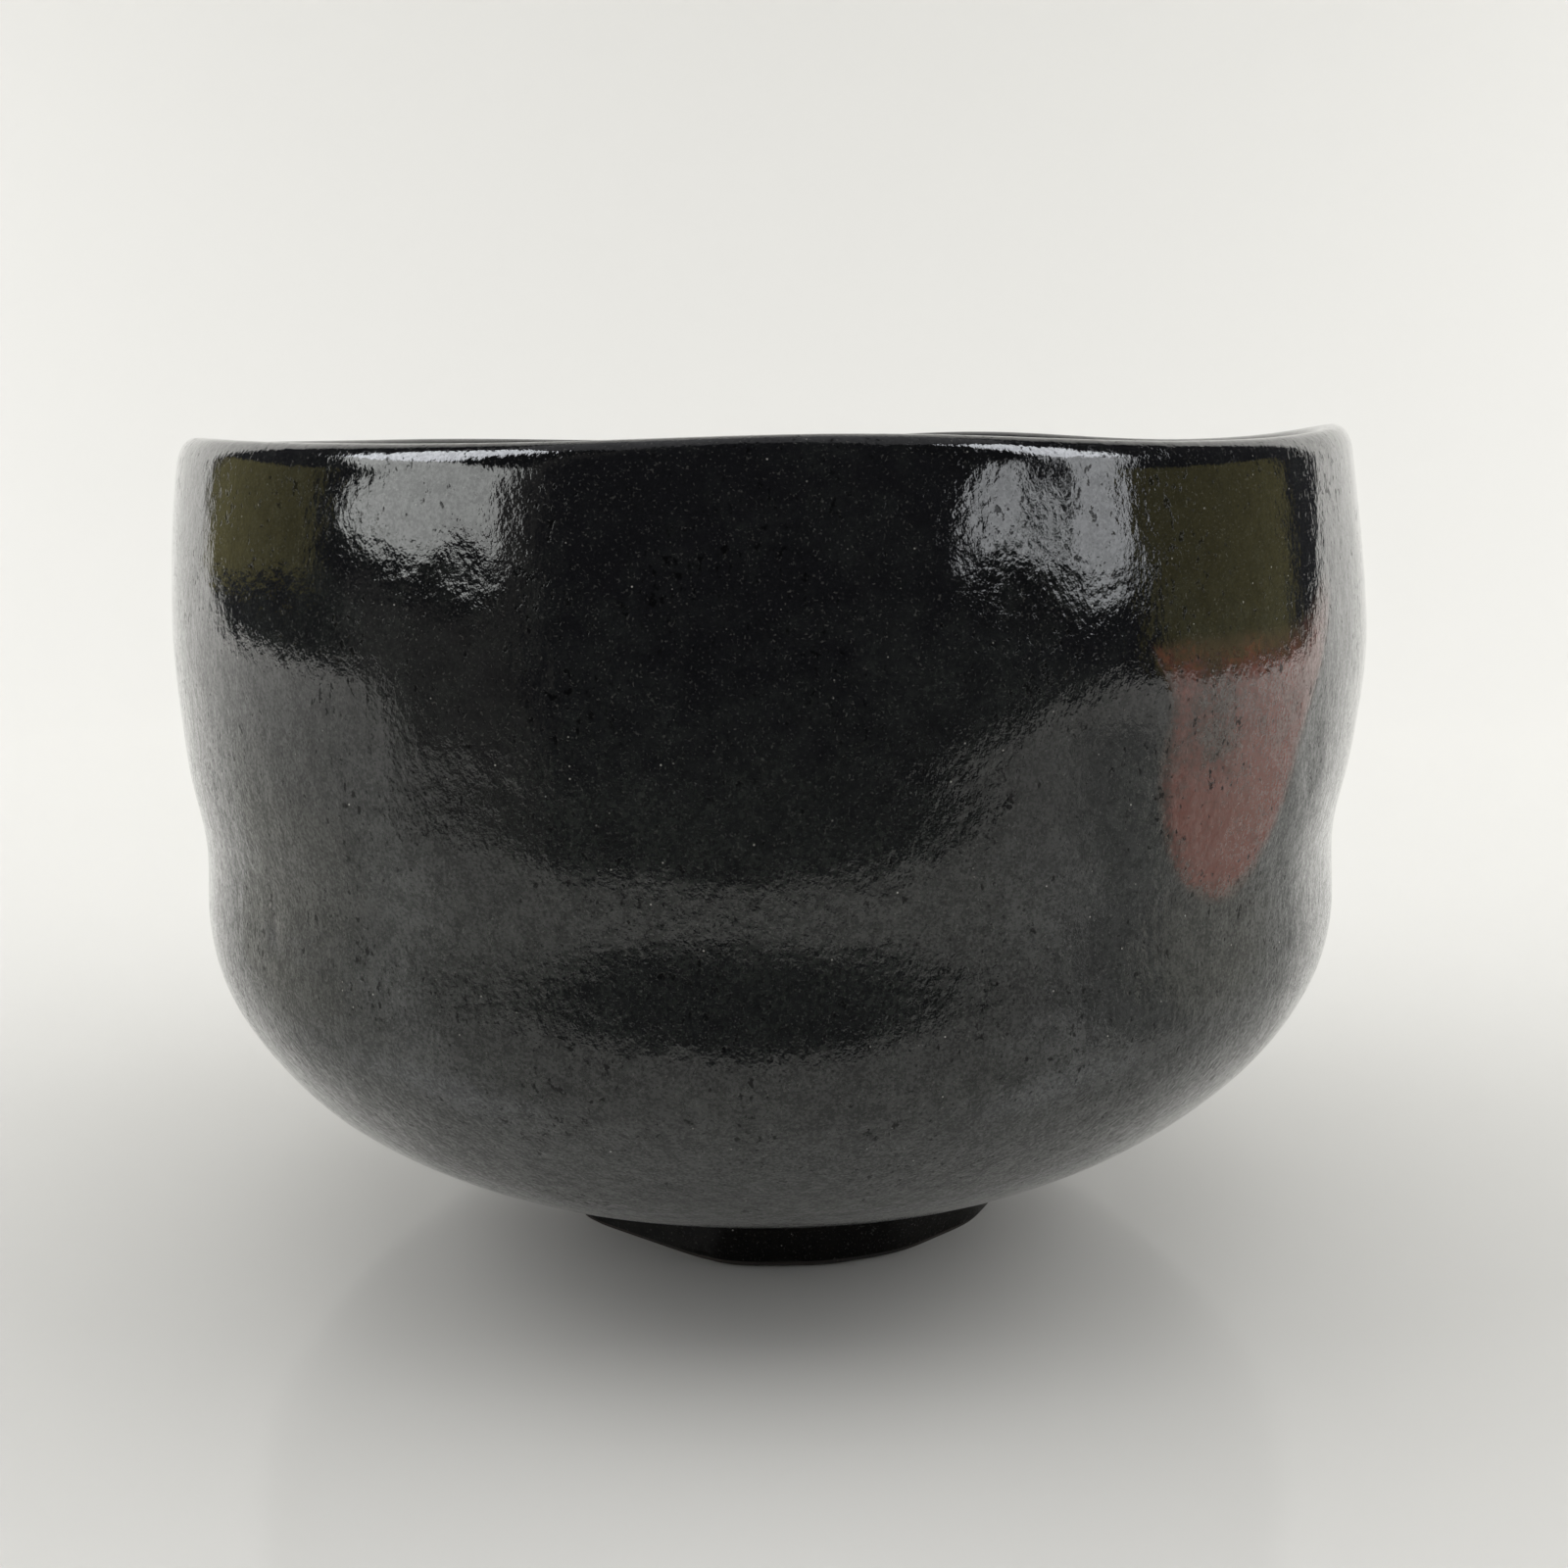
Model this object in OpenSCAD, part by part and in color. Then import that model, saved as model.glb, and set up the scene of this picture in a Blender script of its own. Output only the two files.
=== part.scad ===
// Black raku tea bowl (chawan), hand formed, with a foot ring and a red flash in the black glaze.
// +Z is up. The origin is on the resting plane, under the middle of the belly.
// Front is -Y. Angles are in degrees about +Z from +X, so the front of the bowl is at -90.

/* [Bowl] */
// Outside diameter at the belly, over the glaze
belly_d = 117.2; // [112:0.2:124]
// Height of the mean lip above the resting plane
bowl_h = 79.4; // [76:0.2:84]
// Thickness of the lip, over both coats of glaze
lip_t = 3.9; // [3.4:0.1:4.6]
// Height of the rounding of the lip
lip_round_h = 3; // [2.4:0.1:3.6]

/* [Foot] */
// Diameter of the clay foot ring where it stands
foot_d = 48.5; // [45:0.5:51]
// Height of the foot ring
foot_h = 6; // [5.4:0.1:6.6]
// Width of the foot ring where it stands
foot_ring_w = 6; // [4.5:0.1:7]
// How far the side of the foot ring spreads towards its top, on the radius
foot_flare = 0.7; // [0.3:0.1:1]
// How far the foot sits off the middle of the bowl, along X
foot_shift = 0.8; // [0:0.1:1.5]
// Direction of the flat that was pared on the foot
pared_angle = -125; // [-170:1:-60]
// Distance of the pared flat from the middle of the foot
pared_at = 22.9; // [22.2:0.1:24.2]
// Height of the small boss in the middle of the well
boss_h = 1.2; // [0.6:0.1:1.6]
// Radius of the boss in the well
boss_r = 6; // [4:0.5:9]

/* [Glaze] */
// Thickness of the glaze
glaze_t = 0.5; // [0.4:0.05:0.7]
// Height of the bare clay edge left around the foot
bare_edge = 0.6; // [0.4:0.1:1.5]

/* [Hand work] */
// How far the wall is pushed out of round into an oval
oval = 0.35; // [0:0.05:0.8]
// How far the wall is pushed out of round into three lobes
lobes = 0.25; // [0:0.05:0.6]
// How far the lip leans towards -X
lip_lean = 0.45; // [0:0.05:1.2]
// How far the underside swells towards -X
hip_lean = 0.7; // [0:0.05:1.2]
// Depth of the dip of the lip between its peaks
rim_dip = 0.6; // [0.3:0.05:0.9]

/* [Fineness] */
// Facets round the bowl
slices = 60; // [48:4:72]

/* [Hidden] */
$fn = 96;

belly_r = belly_d / 2;
foot_r = foot_d / 2;
foot_top_r = foot_r + foot_flare;         // clay radius at the top of the foot
glaze_foot_r = foot_top_r + glaze_t;      // where the outer glaze meets the foot
well_r = foot_r - foot_ring_w;            // well radius at the resting plane
well_taper = 1;                           // how much narrower the well is at its ceiling
spline_steps = 2;                         // rows of facets between two stations of the outside
lip_steps = 4;                            // rows of facets over each half of the lip
far = 80;                                 // longer than any radius of the bowl

// Outside of the wall, as shares of belly radius and bowl height, from the underside to the root of the lip
outer_shares = [
    [0.570, 0.110],  // underside
    [0.727, 0.167],
    [0.850, 0.239],  // turn of the hip
    [0.939, 0.325],
    [0.974, 0.422],  // hip
    [0.981, 0.542],  // waist
    [0.995, 0.661],
    [1.000, 0.768],  // belly
    [0.988, 0.875]
];
lip_root = [0.971 * belly_r, bowl_h - lip_round_h];

// Inside of the wall, the same way, from the root of the lip to the edge of the tea pool
inner_shares = [
    [0.910, 0.856],
    [0.906, 0.730],
    [0.895, 0.605],
    [0.881, 0.479],
    [0.847, 0.365],
    [0.765, 0.271],
    [0.638, 0.209],
    [0.485, 0.179],
    [0.332, 0.168],  // edge of the tea pool
    [0.238, 0.151]
];
pool_edge = [0.119 * belly_r, 0.142 * bowl_h];
pool_centre = [0, 0.140 * bowl_h];

// Peaks of the lip: [direction, height, half width in degrees]
rim_peaks = [
    [-11, 1.75, 27],
    [-83, 0.75, 20],
    [-155, 0.45, 18],
    [62, 1.20, 20],
    [135, 0.30, 20]
];
// Places pressed by the fingers: [direction, height, depth, half width in mm, half height in mm]
dents = [
    [-22, 44, 0.7, 13, 10],
    [-160, 42, 0.3, 13, 9],
    [-95, 52, 0.3, 26, 6],
    [100, 45, 0.8, 16, 10],
    [42, 33, 0.5, 12, 8],
    [160, 56, 0.3, 15, 9]
];
// Outline of the red flash: [mm round the wall from its middle, height]
patch_angle = -48;
patch_outline = [
    [-14, 65], [-11, 60], [-11.5, 54], [-10, 48], [-6, 43.5], [-1, 42], [3, 44.5],
    [6, 50], [8.5, 57], [12, 63], [13.5, 69], [10, 72], [2, 70], [-7, 69]
];
patch_reach = [0.8 * belly_r, 1.1 * belly_r];

// ---- curves ----

// Smooth step from 0 at lo to 1 at hi
function fade(x, lo, hi) = let(t = min(1, max(0, (x - lo) / (hi - lo)))) t * t * (3 - 2 * t);

// Signed difference of two directions, from -180 to 180
function turn(a, b) = (a - b + 540) % 360 - 180;

// Catmull-Rom point between b and c
function between(a, b, c, d, t) =
    0.5 * (2 * b + (c - a) * t + (2 * a - 5 * b + 4 * c - d) * t * t + (3 * b - a - 3 * c + d) * t * t * t);

// Smooth line through the points p, in n steps from each to the next
function through(p, n) = let(last = len(p) - 1) [
    for (i = [0 : last - 1], j = [0 : n - 1])
        between(p[max(0, i - 1)], p[i], p[i + 1], p[min(last, i + 2)], j / n),
    p[last]
];

function scaled(shares) = [for (s = shares) [s[0] * belly_r, s[1] * bowl_h]];

// Point of the lip's rounding, from the outer root at 0 to the inner root at 180
function lip_point(a) = [lip_root[0] - lip_t / 2 * (1 - cos(a)), lip_root[1] + lip_round_h * sin(a)];

// Face of the outer glaze from the foot to the crest of the lip, and of the lining from the crest to the pool
outer_line = concat(
    through(concat([[glaze_foot_r, foot_h]], scaled(outer_shares), [lip_root]), spline_steps),
    [for (i = [1 : lip_steps]) lip_point(90 * i / lip_steps)]
);
inner_line = concat(
    [for (i = [0 : lip_steps - 1]) lip_point(90 + 90 * i / lip_steps)],
    [lip_point(180)], scaled(inner_shares), [pool_edge, pool_centre]
);

// The line moved by t towards the clay, square to itself
function towards_clay(line, t) = let(last = len(line) - 1) [
    for (i = [0 : last])
        let(d = line[min(last, i + 1)] - line[max(0, i - 1)], n = [-d[1], d[0]] / norm(d))
        i == last && line[i][0] == 0 ? line[i] - [0, t] : line[i] + t * n
];
// Both coats meet at the crest, so the clay under it is straight below
clay_crest = lip_point(90) - [0, glaze_t];
outer_clay = let(line = towards_clay(outer_line, glaze_t))
    concat([for (i = [0 : len(line) - 2]) line[i]], [clay_crest]);
inner_clay = let(line = towards_clay(inner_line, glaze_t))
    concat([clay_crest], [for (i = [1 : len(line) - 1]) line[i]]);

// ---- the hand-made shape ----

// Height of the lip's wave in direction a
function rim_wave(a) = let(heights = [for (p = rim_peaks) p[1] * exp(-pow(turn(a, p[0]) / p[2], 2))])
    [for (h = heights) 1] * heights - rim_dip;

// How far the fingers pushed the wall in, in direction a at height z
function pressed(a, z) = let(depths = [
        for (d = dents)
            d[2] * exp(-pow(turn(a, d[0]) * PI / 180 * belly_r / d[3], 2) - pow((z - d[1]) / d[4], 2))
    ])
    [for (d = depths) 1] * depths;

// How far the wall stands out from a true round, in direction a at height z
function out_of_round(a, z) =
    oval * cos(2 * (a - 40)) + lobes * cos(3 * (a + 20))
    - lip_lean * cos(a) * fade(z, 0.7 * bowl_h, 0.97 * bowl_h)
    - hip_lean * cos(a) * exp(-pow((z - 0.19 * bowl_h) / 7, 2))
    - pressed(a, z);

// Point p = [radius, height] of the round bowl, turned to direction a and given its hand-made shape.
// Everything fades out towards the foot, which stays round, and the middle moves over to the foot's.
function shaped(p, a) =
    let(
        hold = fade(p[0], glaze_foot_r, 0.75 * belly_r),
        r = p[0] + hold * out_of_round(a, p[1]),
        over = foot_shift * (1 - fade(p[1], foot_h, 0.25 * bowl_h))
    )
    [r * cos(a) + over, r * sin(a), p[1] + rim_wave(a) * fade(p[1], 0.6 * bowl_h, bowl_h)];

// Two triangles between facets i and i + 1 of the rings that start at points a and b
function strip(a, b, n) = [
    for (i = [0 : n - 1], t = [0, 1])
        let(j = (i + 1) % n)
        t == 0 ? [a + i, b + i, b + j] : [a + i, b + j, a + j]
];
function joined(lists) = [for (l = lists) each l];

// Closed ring of a loop of [radius, height] points that runs clockwise round the section, clear of the axis
module hand_ring(loop) {
    rows = len(loop);
    points = [for (p = loop, i = [0 : slices - 1]) shaped(p, i * 360 / slices)];
    faces = joined([for (k = [0 : rows - 1]) strip(k * slices, (k + 1) % rows * slices, slices)]);
    polyhedron(points, faces, convexity = 6);
}

// Closed solid of a line of [radius, height] points that starts and ends on the axis
module hand_turned(line) {
    rows = len(line) - 2;
    points = concat(
        [shaped(line[0], 0)],
        [for (k = [1 : rows], i = [0 : slices - 1]) shaped(line[k], i * 360 / slices)],
        [shaped(line[rows + 1], 0)]
    );
    last = 1 + rows * slices;
    faces = concat(
        [for (i = [0 : slices - 1]) [0, 1 + i, 1 + (i + 1) % slices]],
        joined([for (k = [0 : rows - 2]) strip(1 + k * slices, 1 + (k + 1) * slices, slices)]),
        [for (i = [0 : slices - 1]) [last, 1 + (rows - 1) * slices + (i + 1) % slices, 1 + (rows - 1) * slices + i]]
    );
    polyhedron(points, faces, convexity = 6);
}

function reversed(l) = [for (i = [len(l) - 1 : -1 : 0]) l[i]];

// ---- pieces ----

// Whole coat on the outside, before the red flash is set into it
module outer_coat() {
    hand_ring(concat(outer_line, reversed(outer_clay)));
}

// Everything behind the outline of the red flash, square to the wall
module behind_patch() {
    rotate([0, 0, patch_angle]) rotate([90, 0, 90]) translate([0, 0, patch_reach[0]])
        linear_extrude(patch_reach[1] - patch_reach[0]) polygon(through(concat(patch_outline, [patch_outline[0]]), 2));
}

// Solid inside the outer side of the foot, grown by t
module foot_block(t, from) {
    top = foot_top_r + t;
    bottom = foot_r + t + foot_flare * from / foot_h;
    difference() {
        translate([foot_shift, 0, from]) cylinder(h = foot_h - from, r1 = bottom, r2 = top);
        translate([foot_shift, 0, -1]) rotate([0, 0, pared_angle])
            translate([pared_at + t, -far / 2, 0]) cube([far, far, foot_h + 2]);
    }
}

// Section of the well inside the foot, from z = from up, shrunk by t, with its boss
module well_section(t, from) {
    polygon([
        [0, from],
        [well_r - t - well_taper * from / foot_h, from],
        [well_r - t - well_taper, foot_h - t],
        [boss_r + t, foot_h - t],
        [boss_r * 0.5 + t, foot_h - t - boss_h * 0.75],
        [0, foot_h - t - boss_h]
    ]);
}

module clay_body() {
    color("#4a3a30")
        hand_turned(concat(
            [[0, foot_h - boss_h], [boss_r * 0.5, foot_h - boss_h * 0.75], [boss_r, foot_h], outer_line[0]],
            outer_clay,
            [for (i = [1 : len(inner_clay) - 1]) inner_clay[i]]
        ));
}

module foot_ring() {
    color("#4a3a30") difference() {
        foot_block(0, 0);
        translate([foot_shift, 0, -1])
            cylinder(h = foot_h + 2, r1 = well_r + well_taper / foot_h, r2 = well_r - well_taper * (1 + 1 / foot_h));
    }
}

module outer_glaze() {
    color("#141414") difference() {
        outer_coat();
        behind_patch();
    }
}

module red_patch() {
    color("#8c3a2a") intersection() {
        outer_coat();
        behind_patch();
    }
}

module inner_glaze() {
    color("#161616") hand_turned(concat(reversed(inner_clay), inner_line));
}

module foot_glaze() {
    color("#121212") difference() {
        foot_block(glaze_t, bare_edge);
        foot_block(0, 0);
    }
}

module well_glaze() {
    color("#181716") translate([foot_shift, 0, 0]) rotate_extrude() difference() {
        well_section(0, bare_edge);
        well_section(glaze_t, 0);
    }
}

clay_body();
foot_ring();
outer_glaze();
red_patch();
inner_glaze();
foot_glaze();
well_glaze();
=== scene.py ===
# %% [markdown]
# # A black raku tea bowl
# This lesson builds a hand-formed black tea bowl for whisked green tea. The real bowl is one lump of
# clay, pinched up by hand, carved when it is leather hard, then brushed with several coats of a black
# glaze and pulled glowing from a small kiln. Each coat is a skin half a millimetre thick, and here each
# skin is a closed mesh of its own: the outside coat, the red flash in it, the lining, and the thin coats
# on the foot. Under them lie the clay body and the carved foot ring.
#
# Every surface is a formula on a grid, worked out with numpy as whole arrays. The sizes are measured on
# the packed frame, so the looks sit exactly where the frame's solids are.

# %% Load the frame
import math

import bpy
import numpy as np
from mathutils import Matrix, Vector


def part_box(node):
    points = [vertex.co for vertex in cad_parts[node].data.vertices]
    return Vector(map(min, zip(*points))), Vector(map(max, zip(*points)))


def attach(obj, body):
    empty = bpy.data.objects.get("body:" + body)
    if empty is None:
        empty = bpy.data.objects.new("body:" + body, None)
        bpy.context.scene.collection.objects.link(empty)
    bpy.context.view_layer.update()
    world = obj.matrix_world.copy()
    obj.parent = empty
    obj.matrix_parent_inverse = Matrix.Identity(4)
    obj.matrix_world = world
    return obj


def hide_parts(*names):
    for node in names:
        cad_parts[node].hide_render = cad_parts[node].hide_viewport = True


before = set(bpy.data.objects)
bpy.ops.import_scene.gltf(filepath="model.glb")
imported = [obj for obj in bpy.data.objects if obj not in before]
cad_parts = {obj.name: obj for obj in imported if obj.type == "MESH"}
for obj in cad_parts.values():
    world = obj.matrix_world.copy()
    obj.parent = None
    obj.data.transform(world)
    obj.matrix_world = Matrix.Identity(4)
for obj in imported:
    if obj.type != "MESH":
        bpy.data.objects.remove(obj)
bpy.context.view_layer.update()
print("frame nodes:", sorted(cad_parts))

# %% [markdown]
# ## One drawn millimetre
# A potter's drawing has numbers in millimetres. The frame is in metres, and it may have been scaled
# since it was drawn. So one drawn millimetre is measured on the frame: the outside coat was drawn
# 117.3 mm wide, and its box says how wide it is now. Every length below is multiplied by this one.

# %% Measure one drawn millimetre
COAT_DRAWN_WIDTH = 117.3
coat_low, coat_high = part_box("outer_glaze")
MM = (coat_high.x - coat_low.x) / COAT_DRAWN_WIDTH
print(f"one drawn millimetre is {MM:.6f} m")

# %% [markdown]
# ## The section of the wall
# Cut the bowl down the middle and the wall shows as a curve: out from the foot, round the hip, in at
# the waist, out at the belly and in again to the lip. A few stations fix that curve, each a share of
# the belly's radius and of the bowl's height. A Catmull-Rom spline is the smooth line for it, because
# it passes through every station, so each number can be read off a real bowl with a ruler.

# %% Stations of the section
BELLY_R = 58.6
BOWL_H = 79.4
FOOT_H = 6.0
FOOT_TOP_R = 24.95
GLAZE_T = 0.5
LIP_T = 3.9
LIP_ROUND_H = 3.0

OUTER_SHARES = np.array([
    [0.570, 0.110], [0.727, 0.167], [0.850, 0.239], [0.939, 0.325], [0.974, 0.422],
    [0.981, 0.542], [0.995, 0.661], [1.000, 0.768], [0.988, 0.875],
])
INNER_SHARES = np.array([
    [0.910, 0.856], [0.906, 0.730], [0.895, 0.605], [0.881, 0.479], [0.847, 0.365],
    [0.765, 0.271], [0.638, 0.209], [0.485, 0.179], [0.332, 0.168], [0.238, 0.151],
    [0.119, 0.142],
])
LIP_ROOT = np.array([0.971 * BELLY_R, BOWL_H - LIP_ROUND_H])
POOL_CENTRE = np.array([0.0, 0.140 * BOWL_H])
last_run, last_rise = LIP_ROOT - OUTER_SHARES[-1] * [BELLY_R, BOWL_H]
LIP_SLOPE = -last_run / last_rise


def fade(x, start, end):
    """Smooth step: 3t^2 - 2t^3, where t runs from 0 at start to 1 at end."""
    t = np.clip((x - start) / (end - start), 0.0, 1.0)
    return t * t * (3.0 - 2.0 * t)


def spline(stations, steps):
    """Catmull-Rom line through the stations: a cubic in t between each two, in this many steps."""
    last = len(stations) - 1
    u = np.linspace(0.0, last, last * steps + 1)
    i = np.minimum(u.astype(int), last - 1)
    t = (u - i)[:, None]
    a, b = stations[np.maximum(i - 1, 0)], stations[i]
    c, d = stations[i + 1], stations[np.minimum(i + 2, last)]
    return 0.5 * (2 * b + (c - a) * t + (2 * a - 5 * b + 4 * c - d) * t**2
                  + (3 * b - a - 3 * c + d) * t**3)


def lip_arc(start, end, count):
    """Half ellipse of the lip: root radius minus LIP_T/2 (1 - cos a), root height plus LIP_ROUND_H sin a.
    Its outer quarter leans in by LIP_SLOPE LIP_ROUND_H sin a (1 - sin a), which carries the wall's slope
    on without a kink."""
    a = np.radians(np.linspace(start, end, count))
    lean = LIP_SLOPE * LIP_ROUND_H * np.sin(a) * (1 - np.sin(a)) * (np.cos(a) > 0)
    r = LIP_ROOT[0] - LIP_T / 2 * (1 - np.cos(a)) - lean
    return np.stack([r, LIP_ROOT[1] + LIP_ROUND_H * np.sin(a)], 1)


def evenly(line, spacing):
    """The line walked at even steps of about spacing: its points interpolated on its running length."""
    run = np.concatenate([[0.0], np.cumsum(np.linalg.norm(np.diff(line, axis=0), axis=1))])
    at = np.linspace(0.0, run[-1], max(2, round(run[-1] / spacing) + 1))
    return np.stack([np.interp(at, run, line[:, 0]), np.interp(at, run, line[:, 1])], 1)


WALL_STEPS = 40
scale = np.array([BELLY_R, BOWL_H])
FOOT_EDGE = np.array([FOOT_TOP_R + GLAZE_T, FOOT_H])
outer_wall = spline(np.vstack([FOOT_EDGE, OUTER_SHARES * scale, LIP_ROOT]), WALL_STEPS)
inner_wall = spline(np.vstack([LIP_ROOT - [LIP_T, 0], INNER_SHARES * scale, POOL_CENTRE]), WALL_STEPS)
print(f"the outside wall is {len(outer_wall)} points, the inside {len(inner_wall)}")

# %% [markdown]
# ## What the hands did
# A thrown bowl is round. A raku bowl is pinched and pared, so it isn't. The potter's hands show in
# five ways, and each is a small formula of the angle round the bowl and the height: the lip rises in
# slow peaks, the wall is a little oval and three-lobed, lip and hip lean to one side, fingers pressed
# shallow dents, and the whole wall has a faint waviness that only a reflection betrays.
# Adding formulas beats sculpting here, because the coats, the clay and the lining all have to follow
# the same dents, and they do if they all call the same function.

# %% The hand-made shape
FOOT_SHIFT = 0.8
OVAL, OVAL_AT = 0.35, 40.0
LOBES, LOBES_AT = 0.25, -20.0
LIP_LEAN, HIP_LEAN = 0.45, 0.7
RIM_DIP = 0.6
# Angle, height and width in degrees of each peak of the lip
RIM_PEAKS = [(-11, 1.75, 27), (-83, 0.75, 20), (-155, 0.45, 18), (62, 1.20, 20), (135, 0.30, 20)]
# Angle, height, depth, width and length of each dent
DENTS = [
    (-22, 44, 0.7, 13, 10), (-160, 42, 0.3, 13, 9), (-95, 52, 0.3, 26, 6),
    (100, 45, 0.8, 16, 10), (42, 33, 0.5, 12, 8), (160, 56, 0.3, 15, 9),
]


def turn(angle, to):
    """Signed difference of two directions in degrees, from -180 to 180."""
    return (angle - to + 540.0) % 360.0 - 180.0


def rim_lift(angle, z):
    """How far the lip's wave lifts the wall: a bell curve for each peak, less the dip between them, all
    of it at the lip and none below 0.6 of the bowl's height."""
    wave = sum(h * np.exp(-(turn(angle, at) / w) ** 2) for at, h, w in RIM_PEAKS) - RIM_DIP
    return wave * fade(z, 0.6 * BOWL_H, BOWL_H)


def hollows(angle, z, places):
    """Depth of the hollows in a list: a bell curve round the wall times one up it for each."""
    degree = np.radians(1.0) * BELLY_R
    return sum(
        depth * np.exp(-(turn(angle, at) * degree / w) ** 2 - ((z - height) / h) ** 2)
        for at, height, depth, w, h in places
    )


def out_of_round(angle, z):
    """How far the wall stands out from a true round: oval, lobes and leans, less the dents."""
    a = np.radians(angle)
    oval = OVAL * np.cos(2 * (a - math.radians(OVAL_AT)))
    lobes = LOBES * np.cos(3 * (a - math.radians(LOBES_AT)))
    lip = LIP_LEAN * np.cos(a) * fade(z, 0.7 * BOWL_H, 0.97 * BOWL_H)
    hip = HIP_LEAN * np.cos(a) * np.exp(-((z - 0.19 * BOWL_H) / 7.0) ** 2)
    return oval + lobes - lip - hip - hollows(angle, z, DENTS)


print("the dents are up to", round(float(hollows(np.arange(360.0), 44.0, DENTS).max()), 2), "mm deep")

# %% [markdown]
# ### Waviness and tooling
# The faint waviness is a sum of slow waves round and up the wall, each with a whole number of turns so
# that it closes on itself, and each lower the finer it is. A seeded generator picks their phases, so
# the bowl comes out the same each time. On the lower wall the paring left wide soft bands one above the
# other, and just below the lip a fingertip ran round and left a bead with a groove under it.

# %% Waviness, bands and the bead
WAVES = 26
draw = np.random.default_rng(7)
wave_turns = draw.integers(2, 26, WAVES)
wave_rise = draw.uniform(0.04, 0.30, WAVES) * draw.choice([-1.0, 1.0], WAVES)
wave_phase = draw.uniform(0, 2 * math.pi, WAVES)
wave_height = 0.055 / (1.0 + (wave_turns / 9.0) ** 2 + (wave_rise / 0.14) ** 2)


def waviness(angle, z):
    """Sum of sines of turns x angle + rise x height + phase."""
    a = np.radians(angle)
    return sum(
        h * np.sin(n * a + k * z + p)
        for h, n, k, p in zip(wave_height, wave_turns, wave_rise, wave_phase)
    )


print("waviness is up to", round(float(np.abs(waviness(np.arange(360.0), 40.0)).max()), 3), "mm")

# %% Bands, bead and marks
BAND_PITCH, BAND_START, BAND_DEPTH = 18.0, 27.8, 0.20
BANDS_END = (44.0, 56.0)


def pared_bands(angle, z):
    """Sine of the height, one turn to each BAND_PITCH, that wanders up and down with the angle and fades
    out over the heights of BANDS_END."""
    a = np.radians(angle)
    wander = 0.7 * np.sin(2 * a + 1.0) + 0.5 * np.sin(3 * a)
    bands = BAND_DEPTH * np.sin(2 * math.pi * (z + wander - BAND_START) / BAND_PITCH)
    return bands * (1 - fade(z, *BANDS_END))


# Marks of nails and tools, listed as the dents are. The last is no hollow but a facet that the knife
# left standing out along the front of the hip.
MARKS = [
    (-112.5, 70.5, 0.06, 2.2, 2.4), (-69.5, 74.5, 0.07, 1.3, 3.5), (-38, 53, 0.12, 2.0, 5.0),
    (-42, 46, 0.10, 2.0, 4.0), (-136, 39, 0.15, 0.8, 1.6), (-84, 58, 0.05, 3.0, 1.5),
    (-97, 30.2, -0.40, 34.0, 3.6),
]


BEAD, BEAD_AT, GROOVE_AT, BEAD_W = 0.02, 1.4, 2.6, 0.6


def bead(z):
    """Bead and groove, by depth below the lip's crest: one bell curve out and one in."""
    depth = BOWL_H - z
    out, back = (BEAD * np.exp(-((depth - at) / BEAD_W) ** 2) for at in (BEAD_AT, GROOVE_AT))
    return out - back


def tooling(angle, z):
    """Everything that only the outside shows: the waviness, the bands and the bead, less the marks."""
    return waviness(angle, z) + pared_bands(angle, z) + bead(z) - hollows(angle, z, MARKS)


tooling_depth = np.ptp(tooling(np.arange(360.0)[None, :], np.arange(FOOT_H, BOWL_H)[:, None]))
print("all the tooling together spans", round(float(tooling_depth), 2), "mm")

# %% From a section to points in space


def set_out(angle, radius, z):
    """Points [x, y, z] at these angles, radii and heights: the foot's end of the wall is shifted sideways
    by FOOT_SHIFT, and the lip's wave is added to the height."""
    a = np.radians(angle)
    over = FOOT_SHIFT * (1 - fade(z, FOOT_H, 0.25 * BOWL_H))
    height = z + rim_lift(angle, z)
    return np.stack(np.broadcast_arrays(radius * np.cos(a) + over, radius * np.sin(a), height), -1)


def shaped(profile, angles, outside=0.0):
    """Grid of points (rows, columns, 3): each [radius, height] of the profile turned to each angle,
    with the hand-made shape added to its radius. outside is how much of the tooling this surface
    shows, from 0 to 1. Near the foot the radius is held to the true round."""
    r, z = profile[:, :1], profile[:, 1:]
    angle = angles[None, :]
    hold = fade(r, FOOT_EDGE[0], 0.75 * BELLY_R)
    return set_out(angle, r + hold * (out_of_round(angle, z) + outside * tooling(angle, z)), z)


lip_heights = BOWL_H + rim_lift(np.arange(360.0), BOWL_H)
print(f"the lip's crest lies between {lip_heights.min():.1f} and {lip_heights.max():.1f} mm")

# %% [markdown]
# ## From grid to mesh
# A grid of points becomes a mesh by joining each point to its neighbours with four-sided faces. Both
# ways round can close: a skin's section is a loop, out over one face and back along the other, and the
# loop runs round the bowl. A solid that crosses the axis closes at two poles instead, with a fan of
# triangles at each. The sign of the volume says which way the faces point, and a mesh that came out
# inside out has its faces turned before it is made.

# %% Faces of a grid


def grid_faces(rows, columns, closed_rows):
    """Four-sided faces of a grid whose columns close, and whose rows close too if closed_rows."""
    count = rows if closed_rows else rows - 1
    k, i = np.meshgrid(np.arange(count), np.arange(columns), indexing="ij")
    here, above = k * columns, (k + 1) % rows * columns
    beside = (i + 1) % columns
    return np.stack([here + i, above + i, above + beside, here + beside], 2).reshape(-1, 4)


def fan_faces(pole, first, columns, forward):
    """Triangles from a pole to a ring that starts at vertex first."""
    i = np.arange(columns)
    a, b = first + i, first + (i + 1) % columns
    ring = (a, b) if forward else (b, a)
    return np.stack([np.full(columns, pole), ring[0], ring[1]], 1)


def volume_sign(points, triangles):
    """Sign of the sum of p0 . (p1 x p2) over the triangles, positive when they face outwards."""
    p = points[triangles]
    return np.sign(np.einsum("ij,ij->i", p[:, 0], np.cross(p[:, 1], p[:, 2])).sum())


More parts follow.
